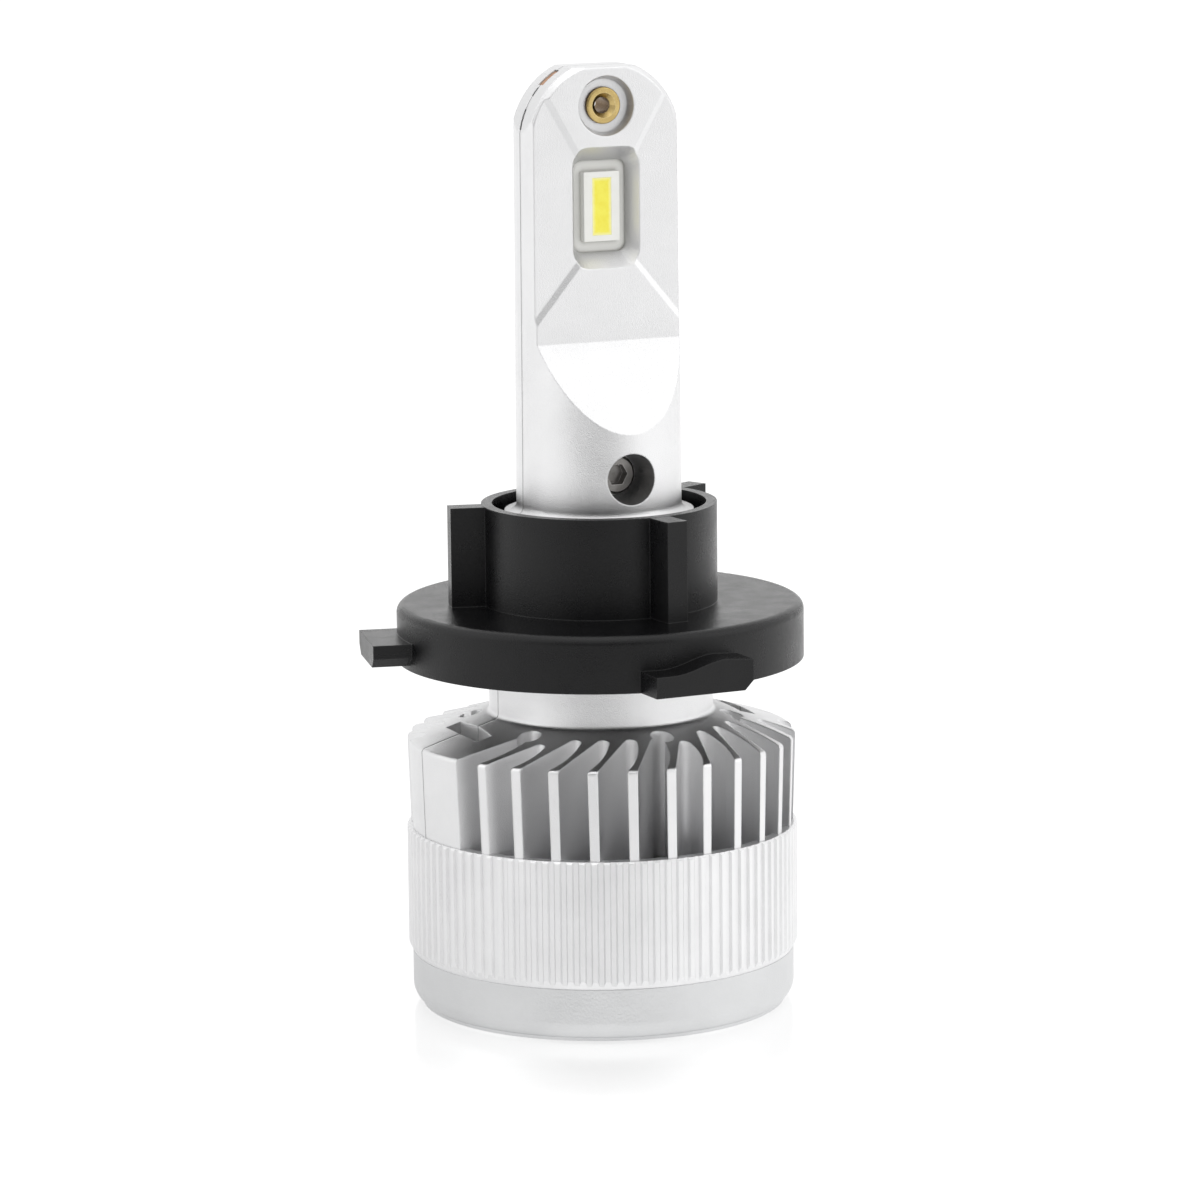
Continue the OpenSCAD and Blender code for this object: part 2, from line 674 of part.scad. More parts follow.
// One casting, drawn as the front half. tapped = true makes the threaded half.
module sink_half(tapped) {
    big = 2 * key_r;
    difference() {
        intersection() {
            union() {
                rotate_extrude() sink_profile();
                post_body();
                for (k = [0 : 5])
                    aim(bore_first + bore_pitch * k) translate([bore_ring_r, 0, sink_z])
                        cylinder(r = boss_r, h = plenum_h + eps);
            }
            translate([-big / 2, -big / 2, 0]) cube([big, big / 2, tip_z + overcut]);
        }
        for (k = [0 : slot_count - 1])
            aim(slot_first + slot_pitch * k) translate([0, 0, sink_z - overcut])
                linear_extrude(height = neck_z - sink_z + 2 * overcut)
                    fin_slot(slot_end + slot_short(k), k == 12 ? last_tip_r : slot_tip_r);
        for (k = [-1 : 1])
            aim(bore_first + bore_pitch * k) translate([bore_ring_r, 0, sink_z - overcut])
                cylinder(r = cap_hole_r, h = neck_z - sink_z + 2 * overcut);
        for (side = [-1, 1])
            translate([side * pocket_x, 0, neck_z - pocket_depth])
                linear_extrude(height = pocket_depth + overcut) core_pocket();
        translate([0, eps, 0]) plate(board_half + eps) board_outline(board_gap);
        rim_slots();
        for (side = [0, 1]) mirror([side, 0, 0]) panel_cut();
        led_window();
        translate([0, 0, rivet_z]) rotate([90, 0, 0]) {
            translate([0, 0, recess_y])
                cylinder(r1 = recess_r - recess_draft, r2 = recess_r, h = recess_depth);
            translate([0, 0, face_y - eps]) cylinder(r = recess_r, h = overcut);
            translate([0, 0, -eps]) cylinder(r = rivet_r + screw_gap, h = face_y + overcut);
        }
        translate([0, 0, screw_z]) rotate([90, 0, 0]) {
            translate([0, 0, -eps]) cylinder(r = screw_r + screw_gap, h = post_r + overcut);
            if (!tapped)
                translate([0, 0, screw_seat_y]) cylinder(r = counterbore_r, h = post_r + overcut);
        }
    }
}

module heatsink_front() {
    color("gainsboro") sink_half(false);
}

module heatsink_rear() {
    color("silver") rotate([0, 0, 180]) sink_half(true);
}

// ---------------------------------------------------------------- board, LEDs, fasteners of the post

module copper_board() {
    color("peru") difference() {
        translate([0, board_half, 0]) plate(board_t) {
            board_outline(0);
            rim_sector(ear_from, ear_to, arch_r - board_inset - ear_root, arch_r - ear_drop);
        }
        translate([0, board_t, rivet_z]) rotate([90, 0, 0])
            cylinder(r = rivet_r + screw_gap, h = 2 * board_t);
        translate([0, board_t, screw_z]) rotate([90, 0, 0])
            cylinder(r = screw_r + screw_gap, h = 2 * board_t);
    }
}

// Ceramic package on the front of the board
module led_frame() {
    translate([0, -board_half, led_z]) difference() {
        plate(led_t) square([led_w, led_h], center = true);
        translate([0, -led_t + phosphor_t, 0])
            plate(phosphor_t + overcut) square([phosphor_w, phosphor_h], center = true);
    }
}

phosphor_drop = 0.03; // how far the phosphor stays below the package's face

// Phosphor strip that fills the package's seat
module led_phosphor() {
    translate([0, -board_half - led_t + phosphor_t, led_z])
        plate(phosphor_t - phosphor_drop) square([phosphor_w, phosphor_h], center = true);
}

module led_frame_front() {
    color("white") led_frame();
}

module led_frame_rear() {
    color("white") rotate([0, 0, 180]) led_frame();
}

module led_phosphor_front() {
    color("gold") led_phosphor();
}

module led_phosphor_rear() {
    color("gold") rotate([0, 0, 180]) led_phosphor();
}

// Tubular rivet with a rolled head and a flared mouth at each end
module tip_rivet() {
    half = recess_y + rivet_head_t;
    roll = rivet_head_t / 2;
    color("goldenrod") translate([0, 0, rivet_z]) rotate([90, 0, 0]) rotate_extrude()
        for (side = [0, 1])
            mirror([0, side]) difference() {
                union() {
                    translate([0, -eps]) square([rivet_r, recess_y + 2 * eps]);
                    translate([0, recess_y]) square([rivet_head_r - roll, rivet_head_t]);
                    translate([rivet_head_r - roll, recess_y + roll]) circle(r = roll, $fn = 24);
                }
                polygon([
                    [-overcut, -overcut], [rivet_bore_r, -overcut], [rivet_bore_r, half - rivet_flare],
                    [rivet_bore_r + rivet_flare, half + eps], [-overcut, half + eps]
                ]);
            }
}

// Socket-head screw, driven from the front
module clamp_screw() {
    tip_cover = 1; // metal left round the shank's end
    shank = post_r - tip_cover + screw_seat_y;
    socket_depth = screw_head_h / 2;
    edge = 0.3;
    color("dimgray") translate([0, -screw_seat_y, screw_z]) rotate([90, 0, 0]) difference() {
        union() {
            translate([0, 0, -shank]) cylinder(r = screw_r, h = shank + eps);
            cylinder(r = screw_head_r, h = screw_head_h - edge);
            translate([0, 0, screw_head_h - edge])
                cylinder(r1 = screw_head_r, r2 = screw_head_r - edge, h = edge);
        }
        translate([0, 0, screw_head_h - socket_depth])
            cylinder(r = hex_key / 2 / cos(30), h = socket_depth + overcut, $fn = 6);
    }
}

// ---------------------------------------------------------------- collar and seal

// Wavy upper outline of the ramp key, low at one end and high at the other
ramp_steps = 10;
ramp_lift = 0.05; // underside of the ramp key above the flange's
rise_from = -0.33; // start and end of the rise, in widths of the key from its middle
rise_to = 0.23;
function ramp_point(i) =
    let (t = i / ramp_steps)
    [
        ramp_w * (rise_from + (rise_to - rise_from) * t),
        ramp_low + (ramp_high - ramp_low) * (1 - cos(180 * t)) / 2
    ];

inner_wall = 1.32; // flange wall left outside the tube's radius

module key_block(reach) {
    rotate([90, 0, 90]) linear_extrude(height = reach) children();
}

module mounting_collar() {
    inner_wall_r = tube_r + inner_wall;
    outer_wall_r = flange_r - flange_wall;
    hollow = flange_t - flange_wall;
    color([0.13, 0.13, 0.14]) difference() {
        union() {
            // tube and flange
            translate([0, 0, tube_z - flange_wall / 2])
                cylinder(r = tube_r, h = tube_h + flange_wall / 2);
            translate([0, 0, flange_z]) rotate_extrude() {
                square([flange_r, flange_t - flange_edge_r]);
                square([flange_r - flange_edge_r, flange_t]);
                translate([flange_r - flange_edge_r, flange_t - flange_edge_r])
                    circle(r = flange_edge_r);
            }
            for (a = rib_angles)
                aim(a) translate([0, -rib_w / 2, tube_z - eps]) cube([rib_r, rib_w, tube_h]);
            // plain keys
            for (a = key_angles)
                aim(a) translate([0, 0, flange_z + key_lift]) key_block(key_r) polygon([
                    [-key_w / 2, key_chamfer], [-key_w / 2, key_h], [key_w / 2, key_h],
                    [key_w / 2, key_chamfer], [key_w / 2 - key_chamfer, 0],
                    [-key_w / 2 + key_chamfer, 0]
                ]);
            // ramp key
            aim(ramp_angle) translate([0, ramp_shift, flange_z]) key_block(ramp_r) polygon(concat(
                [[-ramp_w / 2, ramp_lift], [-ramp_w / 2, ramp_low]],
                [for (i = [0 : ramp_steps]) ramp_point(i)],
                [
                    [ramp_w / 2, ramp_high - ramp_drop], [ramp_w / 2, key_chamfer],
                    [ramp_w / 2 - key_chamfer + ramp_lift, ramp_lift]
                ]
            ));
        }
        // bore on the spigot
        translate([0, 0, flange_z - overcut])
            cylinder(r = collar_bore_r, h = flange_t + tube_h + 2 * overcut);
        // hollow underside, crossed by webs
        difference() {
            translate([0, 0, flange_z - overcut]) rotate_extrude()
                translate([inner_wall_r, 0])
                    square([outer_wall_r - inner_wall_r, hollow + overcut]);
            for (k = [0 : web_count - 1])
                rotate([0, 0, 360 / web_count * k]) translate([0, -web_t / 2, flange_z - 2 * overcut])
                    cube([flange_r, web_t, hollow + 3 * overcut]);
        }
    }
}

module collar_seal() {
    color([0.1, 0.1, 0.1]) translate([0, 0, seal_z + seal_wire_r])
        rotate_extrude() translate([seal_seat_r + seal_wire_r, 0]) circle(r = seal_wire_r, $fn = 32);
}

// ---------------------------------------------------------------- grip ring and end cap

groove_share = 0.36; // shares of a knurl's pitch taken by the groove's floor and by each flank
flank_share = 0.14;

module grip_ring() {
    groove_r = ring_r - knurl_depth;
    step = 360 / knurl_count;
    crest = groove_share + flank_share;
    color("whitesmoke") difference() {
        intersection() {
            translate([0, 0, ring_z]) linear_extrude(height = ring_h) polygon([
                for (k = [0 : knurl_count - 1])
                    for (p = [[groove_r, 0], [groove_r, groove_share], [ring_r, crest],
                            [ring_r, 1 - flank_share]])
                        spot(p[0], step * (k + p[1]))
            ]);
            translate([0, 0, ring_z]) rotate_extrude() polygon([
                [0, 0], [ring_r - ring_chamfer, 0], [ring_r + eps, 2 * ring_chamfer],
                [ring_r + eps, ring_h - ring_chamfer / 2], [ring_r - ring_chamfer / 2, ring_h],
                [0, ring_h]
            ]);
        }
        translate([0, 0, ring_z - overcut]) cylinder(r = ring_bore_r, h = ring_h + 2 * overcut);
    }
}

// Grille openings in the cap's floor, in plan
module grille() {
    difference() {
        for (k = [0 : grille_rings - 1]) {
            inner = grille_hub_r + k * (grille_slot + grille_bar);
            difference() {
                circle(r = inner + grille_slot);
                circle(r = inner);
            }
        }
        for (k = [0 : grille_spokes - 1])
            rotate(360 / grille_spokes * k) translate([0, -grille_bar / 2])
                square([bore_ring_r, grille_bar]);
    }
}

screw_angles = [for (k = [0, 2, 4]) bore_first + bore_pitch * k];
head_seat_z = cap_head_sink + cap_head_h;

pillar_wall = 0.7; // metal round the heads of the cap screws

module end_cap() {
    pillar_r = cap_head_r + pillar_wall;
    color("lightgray") difference() {
        union() {
            difference() {
                rotate_extrude() {
                    translate([0, cap_edge_r]) square([cap_r, cap_h - cap_edge_r]);
                    square([cap_r - cap_edge_r, cap_h]);
                    translate([cap_r - cap_edge_r, cap_edge_r]) circle(r = cap_edge_r);
                    square([lip_r, cap_h + lip_h]);
                }
                translate([0, 0, cap_floor])
                    cylinder(r = cap_bore_r, h = cap_h + lip_h);
            }
            for (a = screw_angles)
                aim(a) translate([bore_ring_r, 0, cap_floor - eps])
                    cylinder(r = pillar_r, h = intake_gap + eps);
        }
        translate([0, 0, -overcut]) linear_extrude(height = cap_floor + 2 * overcut) grille();
        for (a = screw_angles)
            aim(a) translate([bore_ring_r, 0, -overcut]) {
                cylinder(r = cap_hole_r, h = fan_z + 2 * overcut);
                cylinder(r = cap_head_r + screw_gap, h = head_seat_z + overcut);
            }
        aim(inlet_angle) translate([cap_bore_r - overcut, 0, inlet_z]) rotate([0, 90, 0])
            cylinder(r = grommet_r + screw_gap, h = cap_r - cap_bore_r + 2 * overcut);
    }
}

// Screws with a cross recess
module cap_screws() {
    cross_l = 2.4;
    cross_w = 0.5;
    cross_depth = 0.9;
    color("gray") for (a = screw_angles)
        aim(a) translate([bore_ring_r, 0, 0]) difference() {
            union() {
                translate([0, 0, cap_head_sink]) cylinder(r = cap_head_r, h = cap_head_h);
                translate([0, 0, head_seat_z - eps]) cylinder(r = cap_screw_r, h = cap_screw_len);
            }
            for (turn = [0, 90])
                rotate([0, 0, turn]) translate([-cross_l / 2, -cross_w / 2, cap_head_sink - overcut])
                    cube([cross_l, cross_w, overcut + cross_depth]);
        }
}

// Rubber bush that the cord leaves through
module cable_grommet() {
    wall = cap_r - cap_bore_r;
    color([0.1, 0.1, 0.1]) aim(inlet_angle) translate([cap_bore_r, 0, inlet_z]) rotate([0, 90, 0])
        difference() {
            union() {
                cylinder(r = grommet_r, h = wall + grommet_lip_t);
                translate([0, 0, wall + ring_gap])
                    cylinder(r = grommet_r + grommet_lip, h = grommet_lip_t);
            }
            translate([0, 0, -overcut])
                cylinder(r = grommet_bore_r, h = wall + grommet_lip_t + 2 * overcut);
        }
}

// ---------------------------------------------------------------- fan, intake below, motor base above

rotor_z = fan_z + rotor_gap;
base_z = fan_z + fan_h - base_t;
fan_board_z = base_z - fan_board_t;
rotor_top_z = fan_board_z - rotor_gap;
cup_r = hub_r - hub_wall;
magnet_r = cup_r - cup_wall;
stator_r = magnet_r - magnet_wall - air_gap;
cup_z = rotor_z + hub_plate;
magnet_z = cup_z + cup_wall;
base_r = hub_r;
blade_r = fan_bore_r - tip_gap;
stator_z = (magnet_z + rotor_top_z - stator_h) / 2;
pole_w = 1.38; // width of the stator's four poles
yoke_t = 0.4; // wall of the stator's yoke
yoke_r = post_tube_r + yoke_t;
shoe_t = 0.5; // thickness of the pole shoes
shoe_gap = 0.69; // gap between two shoes
coil_side = 0.36; // thickness of a coil beside its pole
coil_w = pole_w + 2 * coil_side;
coil_end = 0.05; // space at both ends of a coil
strut_turn = 30; // angle of the first strut
notch_wall = 0.5; // wall left between the cord's notch and the air bore
magnet_short = 0.2; // how far the magnet ends inside the rotor's cup
lead_x = 1; // half the spacing of the fan leads
lead_out = 1.5; // how far the leads stand off the bearing tube
lead_y = post_tube_r + lead_out;
clip_lift = 0.15; // height of the clip above the base plate's underside
clip_z = base_z + clip_lift;
clip_t = 0.3;
groove = 0.2; // depth of the shaft's groove for the clip
shaft_top_z = base_z + base_t - clip_lift;

module fan_frame() {
    color([0.16, 0.16, 0.17]) difference() {
        union() {
            translate([0, 0, fan_z]) cylinder(r = fan_bore_r + fan_wall, h = fan_h);
            for (z = [fan_z, fan_z + fan_h - fan_flange_t])
                translate([0, 0, z]) cylinder(r = fan_r, h = fan_flange_t);
            for (k = [0 : 5])
                aim(bore_first + bore_pitch * k) translate([bore_ring_r, 0, fan_z])
                    cylinder(r = boss_r, h = fan_h);
        }
        difference() {
            translate([0, 0, fan_z - overcut]) cylinder(r = fan_bore_r, h = fan_h + 2 * overcut);
            translate([0, 0, base_z]) cylinder(r = base_r, h = base_t);
            for (k = [0 : strut_count - 1])
                rotate([0, 0, 360 / strut_count * k + strut_turn])
                    translate([base_r - strut_w / 2, -strut_w / 2, base_z])
                        cube([fan_bore_r + overcut - base_r + strut_w / 2, strut_w, base_t]);
            // bearing tube hanging from the base plate
            translate([0, 0, magnet_z + rotor_gap])
                cylinder(r = post_tube_r, h = base_z + base_t - magnet_z - rotor_gap);
        }
        for (k = [0 : 5])
            aim(bore_first + bore_pitch * k) translate([bore_ring_r, 0, fan_z - overcut])
                cylinder(r = cap_hole_r, h = fan_h + 2 * overcut);
        translate([0, 0, fan_z - overcut]) cylinder(r = bearing_r, h = fan_h + 2 * overcut);
        for (x = [-1, 1])
            translate([x * lead_x, lead_y, base_z - overcut])
                cylinder(r = lead_r + screw_gap, h = base_t + 2 * overcut);
        // notch that lets the cord up past the air bore
        aim(inlet_angle) translate([fan_bore_r + fan_wall + notch_wall, -grommet_r, fan_z - overcut])
            cube([fan_r, 2 * grommet_r, fan_h + 2 * overcut]);
    }
}

module fan_impeller() {
    blade_run = rotor_top_z - rotor_z;
    blade_len = blade_run / sin(blade_pitch) + 2 * overcut;
    color([0.2, 0.2, 0.21]) union() {
        difference() {
            translate([0, 0, rotor_z]) cylinder(r = hub_r, h = rotor_top_z - rotor_z);
            translate([0, 0, cup_z]) cylinder(r = cup_r, h = rotor_top_z - rotor_z);
            translate([0, 0, rotor_z - overcut]) cylinder(r = shaft_r, h = hub_plate + 2 * overcut);
        }
        intersection() {
            difference() {
                translate([0, 0, rotor_z]) cylinder(r = blade_r, h = blade_run);
                translate([0, 0, rotor_z - overcut])
                    cylinder(r = hub_r - hub_wall / 2, h = blade_run + 2 * overcut);
            }
            for (k = [0 : blade_count - 1])
                rotate([0, 0, 360 / blade_count * k])
                    translate([0, 0, (rotor_z + rotor_top_z) / 2]) rotate([blade_pitch, 0, 0])
                        translate([hub_r - hub_wall, -blade_len / 2, -blade_t / 2])
                            cube([blade_r, blade_len, blade_t]);
        }
    }
}

module rotor_cup() {
    color("slategray") difference() {
        translate([0, 0, cup_z]) cylinder(r = cup_r, h = rotor_top_z - cup_z);
        translate([0, 0, magnet_z]) cylinder(r = magnet_r, h = rotor_top_z - cup_z);
        translate([0, 0, cup_z - overcut]) cylinder(r = shaft_r, h = cup_wall + 2 * overcut);
    }
}

module rotor_magnet() {
    color([0.25, 0.22, 0.2]) difference() {
        translate([0, 0, magnet_z]) cylinder(r = magnet_r, h = rotor_top_z - magnet_z - magnet_short);
        translate([0, 0, magnet_z - overcut])
            cylinder(r = magnet_r - magnet_wall, h = rotor_top_z - magnet_z + 2 * overcut);
    }
}

module fan_shaft() {
    color("lightsteelblue") difference() {
        translate([0, 0, rotor_z]) cylinder(r = shaft_r, h = shaft_top_z - rotor_z);
        translate([0, 0, clip_z]) difference() {
            cylinder(r = shaft_r + overcut, h = clip_t);
            translate([0, 0, -overcut]) cylinder(r = shaft_r - groove, h = clip_t + 2 * overcut);
        }
    }
}

// Retaining clip with an open side
module shaft_clip() {
    clip_r = 1.35;
    clip_mouth = 0.6;
    color("gray") translate([0, 0, clip_z]) linear_extrude(height = clip_t) difference() {
        circle(r = clip_r);
        circle(r = shaft_r - groove);
        translate([0, -clip_mouth / 2]) square([clip_r + overcut, clip_mouth]);
    }
}

module fan_bearing() {
    color("darkgoldenrod") difference() {
        translate([0, 0, magnet_z + rotor_gap])
            cylinder(r = bearing_r, h = base_z - magnet_z - rotor_gap);
        translate([0, 0, magnet_z])
            cylinder(r = shaft_r + bearing_gap, h = base_z - magnet_z + overcut);
    }
}

module stator_core() {
    color("darkgray") translate([0, 0, stator_z]) linear_extrude(height = stator_h) difference() {
        intersection() {
            circle(r = stator_r);
            union() {
                circle(r = yoke_r);
                for (turn = [0, 90])
                    rotate(turn) square([2 * (stator_r + overcut), pole_w], center = true);
                difference() {
                    circle(r = stator_r);
                    circle(r = stator_r - shoe_t);
                    for (turn = [0, 90])
                        rotate(turn + 45) square([2 * (stator_r + overcut), shoe_gap], center = true);
                }
            }
        }
        circle(r = post_tube_r);
    }
}

// Four coils, each wound round one pole
module stator_windings() {
    inner = yoke_r + coil_end;
    outer = sqrt(pow(stator_r - shoe_t, 2) - pow(coil_w / 2, 2)) - coil_end;
    color("chocolate") for (turn = [0 : 90 : 270])
        rotate([0, 0, turn]) translate([inner, 0, stator_z + stator_h / 2])
            rotate([0, 90, 0]) linear_extrude(height = outer - inner) difference() {
                square([stator_h + 2 * coil_t, coil_w], center = true);
                square([stator_h, pole_w], center = true);
            }
}

module fan_board() {
    color("seagreen") difference() {
        translate([0, 0, fan_board_z]) cylinder(r = stator_r, h = fan_board_t);
        translate([0, 0, fan_board_z - overcut])
            cylinder(r = post_tube_r, h = fan_board_t + 2 * overcut);
    }
}

// Stiff leads from the fan's board to the underside of the driver board
module fan_leads() {
    color("firebrick") for (x = [-1, 1])
        translate([x * lead_x, lead_y, fan_board_z + fan_board_t])
            cylinder(r = lead_r, h = driver_z - fan_board_z - fan_board_t);
}

// ---------------------------------------------------------------- driver

module driver_board() {
    color("darkgreen") translate([0, 0, driver_z]) cylinder(r = driver_r - ring_gap, h = driver_t);
}

// Drum core with a flange at both ends
module driver_inductor() {
    drum_flange = 0.8;
    drum_neck_r = 2.48;
    color([0.22, 0.22, 0.23]) translate([0, inductor_y, driver_top_z]) {
        cylinder(r = inductor_r, h = drum_flange);
        cylinder(r = drum_neck_r, h = inductor_h);
        translate([0, 0, inductor_h - drum_flange]) cylinder(r = inductor_r, h = drum_flange);
    }
}

module driver_capacitors() {
    color("silver") for (x = [-1, 1])
        translate([x * (capacitor_r + capacitor_gap), -capacitor_y, driver_top_z])
            cylinder(r = capacitor_r, h = capacitor_h);
}

// Two controllers behind the tail and two smaller parts in front of it
module driver_chips() {
    color([0.12, 0.12, 0.13]) for (side = [-1, 1]) {
        translate([side * chip_x, chip_y, driver_top_z + chip_t / 2])
            cube([chip_w, chip_l, chip_t], center = true);
        translate([side * chip_x, -small_chip_y, driver_top_z + small_chip_t / 2])
            cube([small_chip_w, small_chip_l, small_chip_t], center = true);
    }
}

// Four pins from the driver board, soldered to the board's tail
module board_pins() {
    color("gold") for (k = [-1.5 : 1.5])
        translate([k * pin_pitch - pin_w / 2, -board_half - pin_w, driver_top_z])
            cube([pin_w, pin_w, tail_z - driver_top_z + pin_lap]);
}

heatsink_front();
heatsink_rear();
copper_board();
led_frame_front();
led_frame_rear();
led_phosphor_front();
led_phosphor_rear();
tip_rivet();
clamp_screw();
mounting_collar();
collar_seal();
grip_ring();
end_cap();
cap_screws();
cable_grommet();
fan_frame();
fan_impeller();
rotor_cup();
rotor_magnet();
fan_shaft();
shaft_clip();
fan_bearing();
stator_core();
stator_windings();
fan_board();
fan_leads();
driver_board();
driver_inductor();
driver_capacitors();
driver_chips();
board_pins();
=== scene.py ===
"""Looks of the LED headlight bulb: camera, light, floor and materials on the CAD frame."""
import math

import bpy
from mathutils import Matrix, Vector

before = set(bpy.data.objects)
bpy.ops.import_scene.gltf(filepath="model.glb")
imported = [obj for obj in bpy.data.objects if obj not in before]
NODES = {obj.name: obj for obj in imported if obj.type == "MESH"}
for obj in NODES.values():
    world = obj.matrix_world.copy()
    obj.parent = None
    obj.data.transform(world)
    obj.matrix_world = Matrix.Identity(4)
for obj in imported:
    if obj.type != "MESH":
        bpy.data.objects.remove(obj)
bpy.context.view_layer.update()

MM = 0.001
scene = bpy.context.scene


# ---------------------------------------------------------------- camera

# Angles in degrees, lengths in metres, lens and sensor in millimetres.
CAMERA_AZIMUTH = -24.0
CAMERA_DISTANCE = 0.5812
CAMERA_HEIGHT = 0.15109
CAMERA_PITCH = 10.292
CAMERA_ROLL = -0.582
CAMERA_LENS = 157.9
CAMERA_SENSOR = 36.0
CAMERA_CLIP = (0.01, 20.0)


def make_camera():
    """Camera at the photograph's place, looking slightly down at the front left of the bulb."""
    data = bpy.data.cameras.new("camera")
    data.lens = CAMERA_LENS
    data.sensor_width = CAMERA_SENSOR
    data.clip_start, data.clip_end = CAMERA_CLIP
    camera = bpy.data.objects.new("camera", data)
    scene.collection.objects.link(camera)
    turn = Matrix.Rotation(math.radians(CAMERA_AZIMUTH), 4, "Z")
    place = Matrix.Translation((0, -CAMERA_DISTANCE, CAMERA_HEIGHT))
    tilt = Matrix.Rotation(math.radians(90 - CAMERA_PITCH), 4, "X")
    roll = Matrix.Rotation(math.radians(CAMERA_ROLL), 4, "Z")
    camera.matrix_world = turn @ place @ tilt @ roll
    scene.camera = camera


# ---------------------------------------------------------------- node helpers

SHADER_SAMPLES = 4


class Tree:
    """A small writer for shader nodes."""

    def __init__(self, name, world=False):
        if world:
            self.owner = bpy.data.worlds.new(name)
        else:
            self.owner = bpy.data.materials.new(name)
        self.owner.use_nodes = True
        self.nodes = self.owner.node_tree.nodes
        self.links = self.owner.node_tree.links
        self.nodes.clear()

    def add(self, kind, inputs=None, **settings):
        node = self.nodes.new(kind)
        for key, value in settings.items():
            setattr(node, key, value)
        for key, value in (inputs or {}).items():
            self.fill(node.inputs[key], value)
        return node

    def fill(self, socket, value):
        """Sets an input socket to a value, or links it to another node's output."""
        if isinstance(value, bpy.types.NodeSocket):
            self.links.new(value, socket)
        else:
            socket.default_value = value

    def coords(self):
        """Place in the part's frame, in metres."""
        return self.add("ShaderNodeTexCoord").outputs["Object"]

    def normal(self):
        return self.add("ShaderNodeTexCoord").outputs["Normal"]

    def axis(self, vector, name):
        return self.add("ShaderNodeSeparateXYZ", {0: vector}).outputs[name]

    def math(self, operation, a, b=0.0, clamp=False):
        inputs = {0: a, 1: b}
        return self.add("ShaderNodeMath", inputs, operation=operation, use_clamp=clamp).outputs[0]

    def length(self, a):
        return self.add("ShaderNodeVectorMath", {0: a}, operation="LENGTH").outputs["Value"]

    def direction(self, a):
        return self.add("ShaderNodeVectorMath", {0: a}, operation="NORMALIZE").outputs["Vector"]

    def dot(self, a, b):
        inputs = {0: a, 1: b}
        return self.add("ShaderNodeVectorMath", inputs, operation="DOT_PRODUCT").outputs["Value"]

    def noise(self, size, detail=2.0, rough=0.5):
        """Noise whose blotches are about size metres across."""
        inputs = {"Scale": 1 / size, "Detail": detail, "Roughness": rough, "Vector": self.coords()}
        return self.add("ShaderNodeTexNoise", inputs).outputs["Fac"]

    def span(self, value, lo, hi, to_lo=0.0, to_hi=1.0):
        """Takes lo..hi to to_lo..to_hi, and stays at the ends beyond them."""
        inputs = {"Value": value, "From Min": lo, "From Max": hi, "To Min": to_lo, "To Max": to_hi}
        return self.add("ShaderNodeMapRange", inputs).outputs["Result"]

    def mix(self, fac, a, b):
        node = self.add("ShaderNodeMix", data_type="RGBA")
        for key, value in (("Factor", fac), ("A", a), ("B", b)):
            socket = [s for s in node.inputs if s.name == key and s.enabled][0]
            self.fill(socket, value)
        return [s for s in node.outputs if s.enabled][0]

    def soft_normal(self, radius):
        """Normal that turns smoothly over edges, as if they had the radius."""
        bevel = self.add("ShaderNodeBevel", {"Radius": radius}, samples=SHADER_SAMPLES)
        return bevel.outputs["Normal"]

    def edges(self, radius, gain):
        """1 on convex and concave edges, 0 on flat ground."""
        true = self.add("ShaderNodeNewGeometry").outputs["Normal"]
        close = self.dot(self.soft_normal(radius), true)
        return self.math("MULTIPLY", self.math("SUBTRACT", 1.0, close), gain, clamp=True)

    def nearby(self, distance):
        """1 in the open, towards 0 in corners and under overhangs within the distance."""
        inputs = {"Distance": distance}
        node = self.add("ShaderNodeAmbientOcclusion", inputs, samples=SHADER_SAMPLES)
        return node.outputs["AO"]

    def join(self, fac, first, second):
        inputs = {0: fac, 1: first.outputs[0], 2: second.outputs[0]}
        return self.add("ShaderNodeMixShader", inputs)

    def bump(self, height, strength, distance, normal=None):
        inputs = {"Strength": strength, "Distance": distance, "Height": height}
        if normal is not None:
            inputs["Normal"] = normal
        return self.add("ShaderNodeBump", inputs).outputs["Normal"]

    def finish(self, shader):
        world = isinstance(self.owner, bpy.types.World)
        out = self.add("ShaderNodeOutputWorld" if world else "ShaderNodeOutputMaterial")
        self.links.new(shader, out.inputs["Surface"])
        return self.owner


def rgb(*values):
    """Colour from three values, or grey from one."""
    if len(values) == 1:
        values = values * 3
    return (*values, 1.0)


TINT_SPAN = (0.35, 0.65)
ROUGH_SPAN = (0.3, 0.7)
NOISE_ROUGH = 0.6
PATCH_DETAIL = 4.0
GRAIN_DETAIL = 3.0
EDGE_TINT_WIDTH = 2.2


